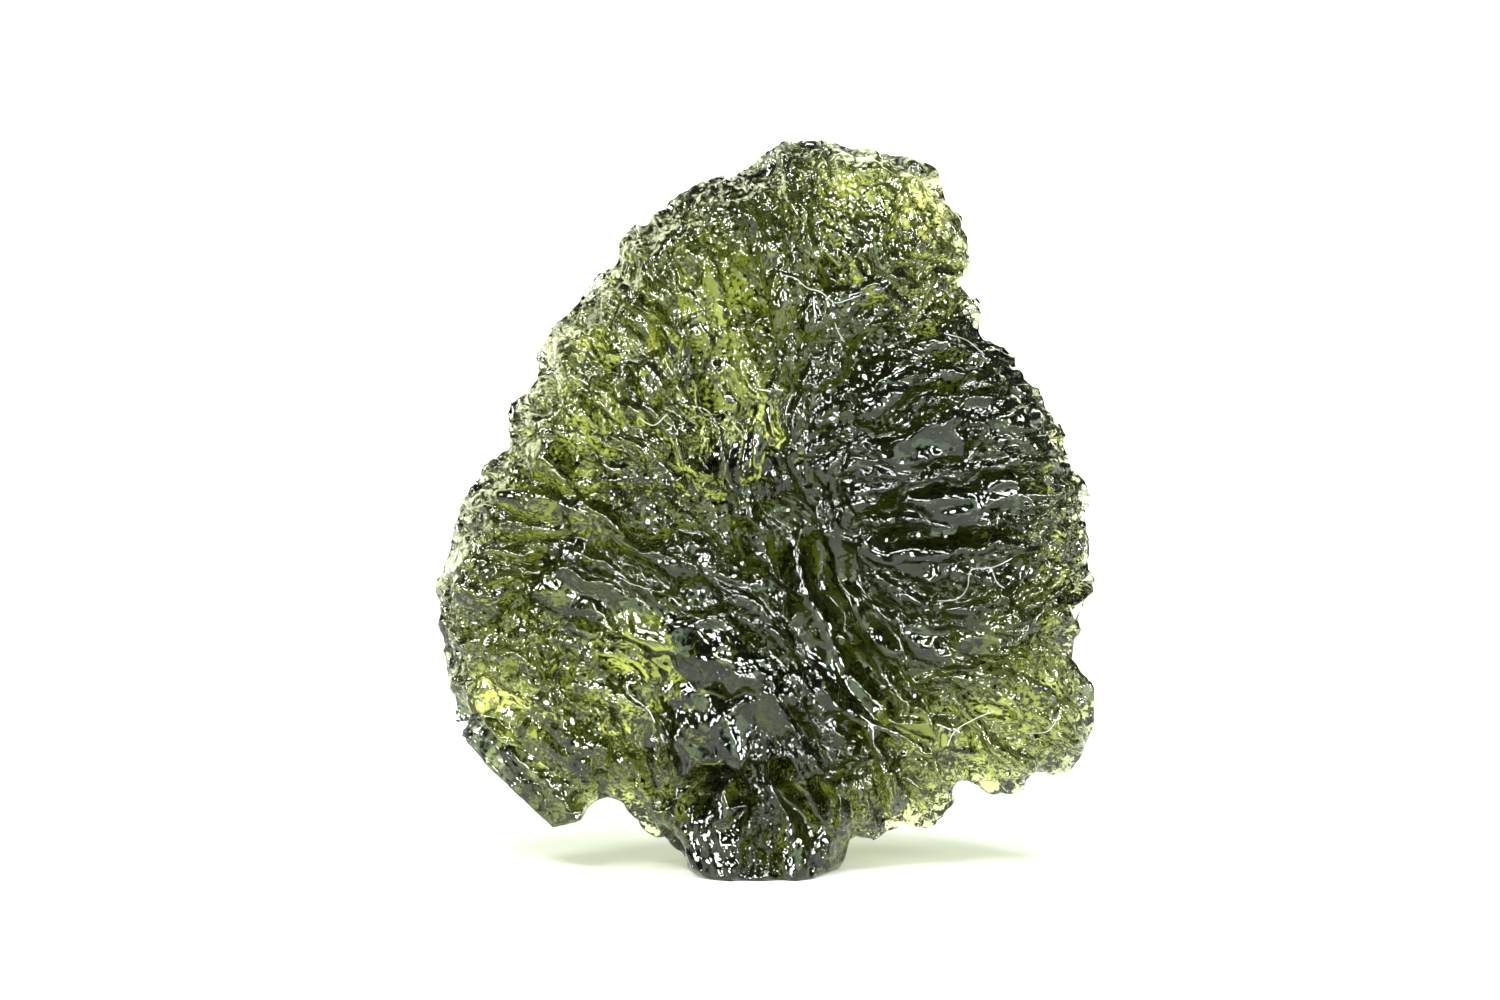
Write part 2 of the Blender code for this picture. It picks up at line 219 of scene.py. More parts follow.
# Single grooves in the front: half width and depth in mm, then the way they run, as (x, z) in mm.
GROOVES = [
    (0.24, 0.62, [(0.5, 9.2), (0.7, 7.7), (1.3, 6.3), (1.7, 5.6)]),
    (0.20, 0.55, [(1.2, 9.3), (1.6, 8.3), (2.0, 7.4), (2.2, 6.5)]),
    (0.20, 0.55, [(2.1, 9.1), (2.4, 8.0), (2.8, 7.1), (3.8, 6.1)]),
    (0.22, 0.55, [(2.2, 6.4), (3.0, 5.5), (3.8, 4.7)]),
    (0.18, 0.35, [(0.7, 4.9), (1.5, 3.9), (1.9, 3.2)]),
    (0.24, 0.58, [(-0.4, 9.5), (0.0, 8.0), (0.7, 6.7), (1.1, 6.0)]),
    (0.12, 0.22, [(2.7, 4.8), (3.9, 3.9), (4.6, 3.6)]),
    (0.10, 0.20, [(1.7, 7.6), (2.1, 6.9), (2.9, 6.0)]),
    (0.20, 0.44, [(3.6, 10.3), (5.2, 10.65), (7.3, 11.0)]),
    (0.22, 0.46, [(2.7, 9.2), (4.2, 9.3), (7.2, 9.2)]),
    (0.12, 0.24, [(2.3, 10.1), (3.6, 9.95), (5.4, 9.75), (7.0, 10.1)]),
    (0.13, 0.28, [(3.9, 5.7), (5.2, 5.6), (6.3, 5.7)]),
    (0.14, 0.26, [(2.9, 8.2), (3.9, 8.4), (4.9, 8.3)]),
    (0.12, 0.22, [(5.6, 7.3), (6.6, 7.5), (7.6, 7.9)]),
    (0.12, 0.22, [(3.1, 6.9), (4.5, 6.65), (6.1, 6.9)]),
    (0.13, 0.26, [(3.3, 14.4), (4.8, 15.1), (5.8, 15.3)]),
    (0.13, 0.26, [(3.3, 13.6), (4.7, 14.1), (6.0, 14.2)]),
    (0.12, 0.24, [(2.5, 12.0), (3.7, 12.3), (4.9, 12.7), (6.4, 12.9)]),
    (0.13, 0.26, [(2.1, 11.2), (4.2, 11.2), (6.9, 11.5)]),
    (0.11, 0.20, [(4.6, 13.3), (5.8, 13.4), (7.3, 12.9)]),
    (0.11, 0.24, [(-1.9, 18.0), (-1.6, 17.2), (-1.1, 16.5)]),
    (0.17, 0.34, [(-3.9, 16.0), (-2.7, 15.0), (-2.0, 14.0), (-1.6, 13.2)]),
    (0.20, 0.42, [(-1.9, 13.6), (-1.3, 13.0), (-0.9, 12.1), (-0.7, 11.0), (-0.6, 10.2)]),
    (0.17, 0.34, [(-7.1, 12.1), (-6.2, 11.7), (-5.3, 11.4), (-4.6, 10.9)]),
    (0.11, 0.22, [(-5.5, 14.8), (-4.5, 14.5), (-3.6, 13.8), (-2.9, 12.8)]),
    (0.11, 0.22, [(-3.2, 12.6), (-2.4, 11.3), (-1.5, 10.2)]),
    (0.14, 0.30, [(0.35, 13.0), (0.45, 12.0), (0.3, 11.1)]),
    (0.12, 0.24, [(-0.45, 12.9), (-0.5, 12.1), (-0.35, 11.2)]),
    (0.13, 0.28, [(-7.2, 7.5), (-5.2, 7.0), (-4.0, 6.5), (-3.2, 6.3)]),
    (0.15, 0.30, [(-4.3, 7.5), (-3.9, 7.0), (-3.6, 6.3)]),
    (0.14, 0.32, [(-1.4, 5.2), (-0.8, 4.8), (-0.2, 5.0)]),
    (0.12, 0.24, [(-8.0, 8.9), (-6.35, 9.15), (-4.3, 9.4)]),
    (0.12, 0.24, [(-6.9, 8.4), (-5.2, 8.45), (-4.0, 8.0)]),
    (0.14, 0.30, [(-7.7, 5.6), (-6.8, 5.3), (-5.4, 4.7), (-4.3, 4.0)]),
    (0.12, 0.26, [(-8.1, 4.2), (-7.0, 3.4), (-5.7, 2.6), (-4.7, 2.5)]),
    (0.16, 0.18, [(-2.55, 5.0), (-2.6, 4.0), (-2.7, 2.8)]),
    (0.16, 0.32, [(-4.3, 3.6), (-4.45, 2.8), (-4.3, 1.9)]),
    (0.26, 0.60, [(-2.6, 2.2), (-1.9, 2.6), (-1.0, 3.0)]),
    (0.24, 0.60, [(-0.2, 2.9), (-0.4, 2.0), (-0.8, 1.3)]),
    (0.22, 0.50, [(0.5, 3.1), (0.7, 2.2), (1.2, 1.4), (1.7, 1.2)]),
    (0.14, 0.30, [(1.5, 2.7), (3.3, 3.05), (6.0, 3.05)]),
    (0.12, 0.26, [(3.2, 2.6), (3.3, 1.0)]),
    (0.13, 0.26, [(3.9, 2.7), (4.15, 1.2)]),
    (0.12, 0.26, [(4.55, 2.8), (4.8, 1.3)]),
    (0.12, 0.24, [(2.5, 2.4), (2.6, 1.2)]),
    (0.15, 0.30, [(6.8, 5.4), (7.1, 6.1), (7.8, 6.3), (8.4, 6.1)]),
]

# Round hollows in the front: (x, z), radius and depth in mm.
HOLES = [
    (-2.9, 14.3, 0.3, 0.35), (-5.4, 5.5, 0.45, 0.35), (-0.7, 2.5, 0.45, 0.9), (-1.2, 2.9, 0.3, 0.5),
    (0.7, 3.0, 0.4, 0.7), (1.5, 2.4, 0.35, 0.6), (3.6, 17.2, 0.45, 0.35),
    (4.9, 6.6, 0.4, 0.25), (5.3, 8.6, 0.5, 0.3), (-1.7, 2.1, 0.35, 0.6), (4.9, 14.3, 0.35, 0.3),
]

# Thin raised lines: half width and height in mm, then the way they run.
CRESTS = [
    (0.10, 0.12, [(-8.1, 8.9), (-7.9, 8.4), (-8.1, 7.6), (-8.3, 6.7), (-7.9, 6.1), (-8.3, 5.2), (-8.4, 4.1)]),
    (0.10, 0.10, [(-2.7, 17.2), (-3.4, 17.0), (-3.7, 16.6), (-3.8, 16.1)]),
    (0.10, 0.12, [(0.3, 19.6), (1.4, 19.6), (1.8, 19.7), (2.9, 19.5), (3.7, 19.1), (5.3, 17.7), (5.7, 16.8)]),
    (0.28, 0.26, [(-4.9, 6.4), (-4.7, 5.3)]),
    (0.28, 0.24, [(-4.35, 5.8), (-4.0, 4.9)]),
    (0.30, 0.30, [(0.1, 3.1), (0.1, 1.2)]),
]

# Smooth stretches of the front: half width in mm, then the way they run.
SMOOTH_STRETCHES = [
    (0.55, [(-5.6, 7.7), (-4.0, 7.2), (-2.2, 6.6), (-0.6, 5.6), (0.4, 4.4)]),
    (0.5, [(1.1, 9.0), (1.4, 7.2), (2.0, 6.0)]),
    (0.45, [(1.9, 8.8), (2.3, 7.4), (3.1, 6.2)]),
    (0.5, [(2.2, 5.2), (3.6, 4.2), (4.9, 3.7)]),
    (0.5, [(2.9, 8.8), (5.0, 8.9)]),
    (0.4, [(3.2, 6.4), (6.0, 6.4)]),
    (0.7, [(-1.9, 5.2), (-1.7, 3.6)]),
    (0.5, [(-3.4, 5.0), (-3.5, 3.8)]),
    (0.5, [(-0.7, 4.5), (-0.8, 3.4)]),
    (0.5, [(-7.3, 4.8), (-6.1, 4.1), (-4.7, 3.3)]),
    (0.4, [(4.0, 9.9), (6.8, 10.4)]),
    (0.45, [(3.4, 11.7), (5.0, 11.9)]),
    (0.45, [(0.0, 12.9), (0.0, 11.3)]),
]

# Where the glass is thin and lets most light through, and the skin's painted shade is lifted: (x, z) and
# radius in mm, and strength.
CLEAR_PATCHES = [
    (-3.9, 14.7, 2.7, 1.0), (-4.6, 12.2, 2.1, 1.0), (-2.1, 11.9, 1.4, 1.0), (-0.1, 12.1, 0.7, 1.0),
    (2.3, 18.2, 1.2, 1.0), (3.4, 16.8, 1.3, 1.0), (4.7, 18.4, 0.8, 1.0), (5.3, 15.9, 0.9, 0.9),
    (8.1, 11.7, 0.7, 1.0), (8.8, 9.6, 0.8, 1.0), (8.4, 7.7, 0.9, 1.0), (7.5, 5.0, 1.6, 0.4),
    (5.8, 3.4, 1.4, 0.45), (3.8, 2.5, 1.3, 0.6), (3.2, 1.4, 0.9, 0.8), (-2.6, 4.7, 1.6, 0.95),
    (-0.7, 3.4, 1.0, 0.7), (-4.6, 3.8, 1.3, 0.9), (-6.9, 4.9, 1.2, 0.9), (-5.7, 6.9, 1.4, 0.7),
    (-3.3, 6.1, 0.8, 0.7), (-7.9, 8.6, 1.3, 0.6), (-6.3, 10.5, 1.5, 0.5), (-0.3, 15.4, 1.3, 0.4),
    (-5.9, 3.1, 0.5, 1.0), (0.1, 2.2, 0.35, 0.8), (1.1, 2.5, 0.3, 0.7), (-0.9, 1.3, 0.8, 0.6),
    (0.7, 1.3, 0.8, 0.6), (1.7, 0.9, 0.5, 0.6), (-1.9, 2.4, 1.0, 0.4), (-3.3, 2.0, 1.1, 0.6),
    (-7.0, 4.3, 0.8, 0.8), (-5.4, 3.7, 0.7, 0.8), (-1.6, 4.6, 0.9, 0.8), (-0.6, 4.0, 0.9, 0.8),
]

# Where the glass is painted in shade and not hollowed behind: half width in mm, then the way it runs.
PAINTED_SHADE_STRETCHES = [
    (0.55, [(-8.4, 4.3), (-7.3, 3.1), (-6.2, 2.1), (-5.2, 1.4)]),
    (0.35, [(-5.2, 3.2), (-4.4, 2.2)]),
    (0.3, [(-2.0, 2.6), (-1.0, 2.9)]),
    (0.3, [(-2.0, 0.2), (2.2, 0.2)]),
    (0.2, [(-1.8, 2.0), (-1.0, 1.9), (-0.3, 2.1)]),
    (0.15, [(0.9, 2.0), (1.5, 1.7), (2.0, 1.3)]),
]

# Flat facets of the front: half width in mm, slope along x and along z (negative falls back towards the left
# and the foot), then the way it runs.
FACETS = [
    (0.55, -0.32, 0.02, [(-7.5, 4.85), (-6.1, 4.05), (-4.7, 3.3)]),
    (0.60, -0.60, -0.05, [(-8.1, 3.9), (-7.1, 3.0), (-6.0, 2.0), (-5.4, 1.5)]),
    (0.80, -0.65, 0.1, [(-1.4, 2.0), (-1.3, 0.7)]),
    (0.75, 0.75, 0.1, [(1.3, 2.0), (1.2, 0.7)]),
]

# Stray lint fibres that lie on the front: the way each runs, as (x, z) in mm.
LINT_PATHS = [
    [(6.7, 8.7), (6.15, 8.45), (5.6, 8.4), (5.5, 7.9), (5.25, 7.6), (4.7, 7.55)],
    [(6.15, 8.45), (6.3, 8.05), (6.5, 7.9)],
    [(0.5, 16.3), (0.9, 16.2), (1.2, 15.95), (1.55, 15.85), (1.8, 15.65), (2.0, 15.55), (2.6, 15.75)],
    [(1.95, 15.0), (2.05, 14.75), (2.2, 14.5)],
    [(5.0, 3.6), (5.2, 4.0), (5.8, 4.35), (6.25, 4.55)],
    [(7.1, 3.9), (7.7, 4.0), (8.1, 4.6)],
    [(4.9, 14.7), (5.5, 14.5), (6.0, 14.1)],
    [(-3.3, 12.5), (-2.9, 12.3), (-2.55, 12.6)],
]

# The distance between a fibre's points in mm, how many of them to each side it bridges, its mottles' scale
# and its roughness.
LINT_STEP = 0.06
LINT_BRIDGE = 2
LINT_MOTTLES_PER_METRE = 2500.0
LINT_ROUGHNESS = 0.6

# A place well in front of the stone, in metres along Y.
IN_FRONT = -1.0

# Where the panel in front of the stone is, and the surroundings' colour, from straight away from that panel
# (0), where there is a larger one, to straight at it (1).
PANEL_DIRECTION = (0.3, -0.95, -0.05)
SURROUNDINGS = [
    (0.0, (1.25, 1.3, 0.88)), (0.13, (1.2, 1.25, 0.84)), (0.21, (0.022, 0.032, 0.034)),
    (0.91, (0.016, 0.022, 0.025)), (0.96, (0.85, 1.07, 0.76)), (1.0, (0.85, 1.07, 0.76)),
]
SURROUNDINGS_STRENGTH = 4.0
PLAIN_WHITE = (1.0, 1.0, 1.0, 1.0)

# The lamps: directions from the stone, distance and width in metres, radiance, and the place they aim at.
LAMP_DIRECTIONS = [
    (0.84, -0.5, 0.22), (0.62, -0.66, 0.42), (0.3, -0.66, 0.7), (0.1, -0.42, 0.9),
    (-0.22, -0.77, 0.6), (-0.5, -0.5, 0.72), (-0.69, -0.71, 0.15), (-0.9, -0.35, 0.3),
]
LAMP_DISTANCE = 0.4
LAMP_WIDTH = 0.08
LAMP_RADIANCE = 70.0
AIM = (0.0, 0.0, 0.01)

# The floor's finish.
FLOOR_COLOUR = (0.48, 0.5, 0.46, 1.0)
FLOOR_ROUGHNESS = 0.9
FLOOR_GLOSS = 0.1


class MoldaviteShape(bpy.types.PropertyGroup):
    """Sizes of the stone's skin."""

    voxel: FloatProperty(
        name="Mesh size",
        description="Size of the skin's first mesh, in millimetres",
        default=0.085,
        min=0.05,
    )
    smoothing: IntProperty(
        name="Smoothing",
        description="Rounds of smoothing of the solid",
        default=15,
        min=0,
    )
    triangles: IntProperty(
        name="Triangles",
        description="Triangles of the finished skin",
        default=196000,
        min=1000,
    )
    slab_relief: FloatProperty(
        name="Slab relief",
        description="Height of the large slabs' steps, in millimetres",
        default=0.23,
        min=0.0,
    )
    plate_relief: FloatProperty(
        name="Plate relief",
        description="Height of the long plates' steps, in millimetres",
        default=0.1,
        min=0.0,
    )
    ridge_relief: FloatProperty(
        name="Ridge relief",
        description="Height of the fine ridges, in millimetres",
        default=0.06,
        min=0.0,
    )
    pit_relief: FloatProperty(
        name="Pit relief",
        description="Depth of the pits, in millimetres",
        default=0.09,
        min=0.0,
    )
    hollow: FloatProperty(
        name="Hollows",
        description="Greatest depth of the hollows behind the clear places, in millimetres",
        default=2.9,
        min=0.0,
    )
    clear_thickness: FloatProperty(
        name="Clear thickness",
        description="Least thickness that a hollow leaves, in millimetres",
        default=2.2,
        min=0.5,
    )


class MoldaviteGlass(bpy.types.PropertyGroup):
    """Values of the green glass."""

    absorption: FloatVectorProperty(
        name="Colour in depth",
        description="Colour that the depth of the glass lets through",
        subtype="COLOR",
        size=4,
        default=(0.5, 0.53, 0.08, 1.0),
        min=0.0,
        max=1.0,
    )
    density: FloatProperty(name="Density", description="Absorption per metre", default=1250.0, min=0.0)
    clear_tint: FloatVectorProperty(
        name="Clear places",
        description="Tint of the skin where the glass is clear",
        subtype="COLOR",
        size=4,
        default=(1.0, 1.0, 0.95, 1.0),
        min=0.0,
        max=1.0,
    )
    # Painted shade: the skin's colour where the glass is shown dark, and in its grooves and gaps.
    painted_shade_tint: FloatVectorProperty(
        name="Dark places",
        description="Tint of the skin where the glass is dark",
        subtype="COLOR",
        size=4,
        default=(0.13, 0.15, 0.12, 1.0),
        min=0.0,
        max=1.0,
    )
    ior: FloatProperty(name="IOR", description="Refractive index", default=1.49, min=1.0)
    roughness: FloatProperty(
        name="Roughness",
        description="Roughness of the skin",
        subtype="FACTOR",
        default=0.03,
        min=0.0,
        max=1.0,
    )
    facet_size: FloatProperty(
        name="Facet size",
        description="Size of the smallest facets",
        unit="LENGTH",
        default=0.00013,
        min=0.00001,
    )
    facet_lean: FloatProperty(
        name="Facet lean",
        description="How far the smallest facets lean, as a slope",
        default=1.0,
        min=0.0,
    )


class MoldaviteLint(bpy.types.PropertyGroup):
    """Thickness and colours of the lint fibres."""

    radius: FloatProperty(
        name="Radius", description="Radius of a fibre", unit="LENGTH", default=0.000012, min=0.000005
    )
    pale: FloatVectorProperty(
        name="Pale",
        description="Palest colour along a fibre",
        subtype="COLOR",
        size=4,
        default=(0.4, 0.42, 0.39, 1.0),
        min=0.0,
        max=1.0,
    )
    dull: FloatVectorProperty(
        name="Dull",
        description="Dullest colour along a fibre",
        subtype="COLOR",
        size=4,
        default=(0.1, 0.12, 0.1, 1.0),
        min=0.0,
        max=1.0,
    )


class MoldaviteStudio(bpy.types.PropertyGroup):
    """Camera and light."""

    elevation: FloatProperty(
        name="Elevation",
        description="Height of the camera over the horizon",
        subtype="ANGLE",
        default=math.radians(4.0),
    )
    lens: FloatProperty(name="Lens", description="Focal length, in millimetres", default=150.0, min=20.0)
    floor_size: FloatProperty(
        name="Floor size", description="Width of the floor", unit="LENGTH", default=0.2, min=0.1
    )


def deselect_all():
    bpy.ops.object.select_all(action="DESELECT")


def activate(obj):
    deselect_all()
    obj.select_set(True)
    bpy.context.view_layer.objects.active = obj


def apply_modifier(obj, kind, name, **settings):
    modifier = obj.modifiers.new(name, kind)
    for key, value in settings.items():
        setattr(modifier, key, value)
    bpy.ops.object.modifier_apply(modifier=modifier.name)


def smoothstep(low, high, value):
    t = np.clip((value - low) / (high - low), 0.0, 1.0)
    return t * t * (3.0 - 2.0 * t)


def points_of(mesh):
    co = np.empty(len(mesh.vertices) * 3, dtype=np.float32)
    mesh.vertices.foreach_get("co", co)
    return co.reshape(-1, 3).astype(np.float64)


def normals_of(mesh):
    normals = np.empty(len(mesh.vertices) * 3, dtype=np.float32)
    mesh.vertex_normals.foreach_get("vector", normals)
    return normals.reshape(-1, 3).astype(np.float64)


def put_points(mesh, points):
    mesh.vertices.foreach_set("co", points.astype(np.float32).ravel())
    mesh.update()


def store(mesh, name, values):
    """Keeps one number for each vertex, for the material to read."""
    attribute = mesh.attributes.new(name, "FLOAT", "POINT")
    attribute.data.foreach_set("value", values.astype(np.float32))


def wavy(points, wavelength, height, seed):
    """The points, each moved by a smooth random vector."""
    noise.seed_set(seed)
    moved = np.empty_like(points)
    for i, point in enumerate(points):
        moved[i] = noise.noise_vector(Vector(point) / wavelength)
    return points + height * moved


def wandering(points):
    """The points, moved so that what is laid out straight wanders over the skin."""
    for wavelength, height, seed in WANDERS:
        points = wavy(points, wavelength, height, seed)
    return points


def skin_table(table, x, z):
    """The skin's direction, ridge relief and grain at each place, blended from a table of places."""
    weight_sum = np.zeros_like(x)
    cos2 = np.zeros_like(x)
    sin2 = np.zeros_like(x)
    ridge = np.zeros_like(x)
    grain = np.zeros_like(x)
    for cx, cz, degrees, ridge_share, grain_share in table:
        weight = np.exp(-((x - cx) ** 2 + (z - cz) ** 2) / SKIN_SPREAD**2) + TINY
        angle = 2.0 * math.radians(degrees)
        weight_sum += weight
        cos2 += weight * math.cos(angle)
        sin2 += weight * math.sin(angle)
        ridge += weight * ridge_share
        grain += weight * grain_share
    return 0.5 * np.arctan2(sin2, cos2), ridge / weight_sum, grain / weight_sum


def skin_flow(points, normals):
    """For each point, the ridges' direction along the skin, and the shares of ridge and grain relief."""
    x, z = points[:, 0], points[:, 2]
    front = smoothstep(*FRONT_SKIN_FACING, normals[:, 1])
    angle_f, ridge_f, grain_f = skin_table(FRONT_SKIN, x, z)
    angle_b, ridge_b, grain_b = skin_table(BACK_SKIN, x, z)
    flow_f = np.stack([np.cos(angle_f), 0.0 * x, np.sin(angle_f)], axis=1)
    flow_b = np.stack([np.cos(angle_b), 0.0 * x, np.sin(angle_b)], axis=1)
    flow = np.where(front[:, None] > 0.5, flow_f, flow_b)
    rim = 1.0 - np.abs(normals[:, 1])
    flow[:, 1] += RIM_CROSSING * rim * np.sign((flow * normals).sum(axis=1) + TINY)
    flow -= (flow * normals).sum(axis=1)[:, None] * normals
    flow /= np.linalg.norm(flow, axis=1)[:, None] + TINY
    ridge = front * ridge_f + (1.0 - front) * ridge_b
    grain = front * grain_f + (1.0 - front) * grain_b
    return flow, ridge, grain


def across_edge(distance, half_width, edge):
    """How far across a soft edge each distance lies, from 0 to 1."""
    start, end = edge
    return smoothstep(start * half_width, end * half_width, distance)


def clearness(x, z):
    """How clear the glass is at each place, from 0 to 1: the back is hollowed there, and the skin's painted
    shade lifted.
    """
    dark = np.ones_like(x)
    for cx, cz, radius, strength in CLEAR_PATCHES:
        dark *= 1.0 - strength * np.exp(-((x - cx) ** 2 + (z - cz) ** 2) / radius**2)
    clear = 1.0 - dark
    for half_width, path in PAINTED_SHADE_STRETCHES:
        nearest, _ = distance_to_path(x, z, path)
        clear *= across_edge(nearest, half_width, PAINTED_SHADE_EDGE)
    return clear


def thickness_at(points):
    """The stone's thickness from front to back at each point."""
    plan = points[:, [0, 2]]
    columns = np.floor((plan - plan.min(axis=0)) / THICKNESS_CELL).astype(np.int64)
    keys = columns[:, 0] * (columns[:, 1].max() + 1) + columns[:, 1]
    front = np.full(keys.max() + 1, np.inf)
    back = np.full(keys.max() + 1, -np.inf)
    np.minimum.at(front, keys, points[:, 1])
    np.maximum.at(back, keys, points[:, 1])
    return (back - front)[keys]


def distance_to_path(x, z, path):
    """How far each place is from a bent line, and from the nearer of the line's ends."""
    nearest = np.full_like(x, FAR)
    for (x0, z0), (x1, z1) in zip(path, path[1:]):
        dx, dz = x1 - x0, z1 - z0
        t = np.clip(((x - x0) * dx + (z - z0) * dz) / (dx * dx + dz * dz), 0.0, 1.0)
        nearest = np.minimum(nearest, np.hypot(x - x0 - t * dx, z - z0 - t * dz))
    first, last = path[0], path[-1]
    ends = np.minimum(np.hypot(x - first[0], z - first[1]), np.hypot(x - last[0], z - last[1]))
    return nearest, ends


def strokes(x, z, table):
    """Relief of listed lines, each highest along its middle and fading at its ends."""
    relief = np.zeros_like(x)
    for half_width, height, path in table:
        nearest, ends = distance_to_path(x, z, path)
        profile = np.clip(1.0 - (nearest / (STROKE_REACH * half_width)) ** 2, 0.0, 1.0) ** STROKE_POWER
        fade = STROKE_LEFT_AT_END + (1.0 - STROKE_LEFT_AT_END) * smoothstep(*STROKE_FADE, ends)
        relief = np.maximum(relief, height * fade * profile)
    return relief


def holes(x, z, table):
    """Depth of round holes, each deepest in its middle."""
    relief = np.zeros_like(x)
    for cx, cz, radius, depth in table:
        distance = np.hypot(x - cx, z - cz) / radius
        relief = np.maximum(relief, depth * np.clip(1.0 - distance**2, 0.0, 1.0) ** HOLE_POWER)
    return relief


def flatten_facets(points, wander, front):
    """Levels the front's facets. Gives the points, and how much of each lies on a facet."""
    x, z = points[:, 0], points[:, 2]
    levelled = points.copy()
    on_facet = np.zeros_like(x)
    for half_width, slope_x, slope_z, path in FACETS:
        nearest, _ = distance_to_path(wander[:, 0], wander[:, 2], path)
        share = front * across_edge(nearest, half_width, FACET_EDGE)
        inside = share > 0.5
        middle = points[inside].mean(axis=0)
        flat = middle[1] + slope_x * (x - middle[0]) + slope_z * (z - middle[2])
        levelled[:, 1] += share * (flat - points[:, 1])
        on_facet = np.maximum(on_facet, share)
    return levelled, on_facet


def calm_share(x, z):
    """How smooth the skin is at each place because of the smooth stretches, from 0 to 1."""
    calm = np.zeros_like(x)
    for half_width, path in SMOOTH_STRETCHES:
        nearest, _ = distance_to_path(x, z, path)
        calm = np.maximum(calm, across_edge(nearest, half_width, CALM_EDGE))
    return calm


class Surface:
    """The stone's skin as arrays in millimetres, with a quick way to find the points near a place."""

    CELL = 0.5

    def __init__(self, points, normals):
        self.points = points
        self.normals = normals
        self.low = points.min(axis=0) - 1e-6
        cells = np.floor((points - self.low) / self.CELL).astype(np.int64)
        self.shape = cells.max(axis=0) + 1
        keys = (cells[:, 0] * self.shape[1] + cells[:, 1]) * self.shape[2] + cells[:, 2]
        self.order = np.argsort(keys, kind="stable")
        self.starts = np.searchsorted(keys[self.order], np.arange(self.shape.prod() + 1))

    def near(self, place, reach):
        low = np.clip(np.floor((place - reach - self.low) / self.CELL).astype(int), 0, self.shape - 1)
        high = np.clip(np.floor((place + reach - self.low) / self.CELL).astype(int), 0, self.shape - 1)
        found = []
        for i in range(low[0], high[0] + 1):
            for j in range(low[1], high[1] + 1):
                row = (i * self.shape[1] + j) * self.shape[2]
                found.append(self.order[self.starts[row + low[2]] : self.starts[row + high[2] + 1]])
        return np.concatenate(found)


def scattered(points, pitch, rng):
    """One random point out of each cube of the given pitch, in a random order."""
    order = rng.permutation(len(points))
    cubes = np.floor(points[order] / pitch).astype(np.int64)
    cubes -= cubes.min(axis=0)
    size = cubes.max(axis=0) + 1
    keys = (cubes[:, 0] * size[1] + cubes[:, 1]) * size[2] + cubes[:, 2]
    _, first = np.unique(keys, return_index=True)
    return rng.permutation(order[first])


def plates(surface, flow, wander, layer):
    """Relief of plates laid along the flow: each has its own level and tilt, with grooves between them.

    Returns the plates' height, in shares of full relief, and the grooves' depth from 0 to 1.
    """
    rng = np.random.default_rng(layer.seed)
    count = len(surface.points)
    nearest = np.full(count, FAR)
    second = np.full(count, FAR)
    total = np.zeros(count)
    weight_sum = np.full(count, 1e-12)
    for middle in scattered(surface.points, layer.pitch, rng):
        normal = surface.normals[middle]
        along = flow[middle]
        across = np.cross(normal, along)
        level = rng.uniform(*PLATE_LEVELS)
        tilt_along = rng.normal(0.0, 0.5 * layer.tilt)
        tilt_across = rng.normal(layer.lean, layer.tilt)
        stretch = rng.uniform(*PLATE_STRETCHES)
        near = surface.near(surface.points[middle], PLATE_REACH * layer.length)
        near = near[surface.normals[near] @ normal > LEAST_FACING]
        away = wander[near] - wander[middle]
        u = away @ along / (layer.length * stretch)
        v = away @ across / layer.width
        w = away @ normal / layer.length
        distance = np.sqrt(u * u + v * v + w * w)
        height = level + tilt_along * u + tilt_across * v
        weight = np.exp(-layer.sharpness * distance**2)
        total[near] += weight * height
        weight_sum[near] += weight
        closer = distance < nearest[near]
        second[near] = np.where(closer, nearest[near], np.minimum(second[near], distance))
        nearest[near] = np.minimum(nearest[near], distance)
    gap = np.exp(-(((second - nearest) / layer.groove) ** 2))
    return total / weight_sum, gap


def pits(surface, wander):
    """Depth, from 0 to 1, of round pits that meet in sharp crests."""
    rng = np.random.default_rng(PIT_SEED)
    depth = np.zeros(len(surface.points))
    for middle in scattered(surface.points, PIT_PITCH, rng):
        reach = PIT_RADIUS * rng.uniform(*PIT_SIZES)
        deepest = rng.uniform(*PIT_DEPTHS)
        near = surface.near(surface.points[middle], reach)
        away = wander[near] - wander[middle]
        share = (away * away).sum(axis=1) / reach**2
        depth[near] = np.maximum(depth[near], deepest * (1.0 - share))
    return depth


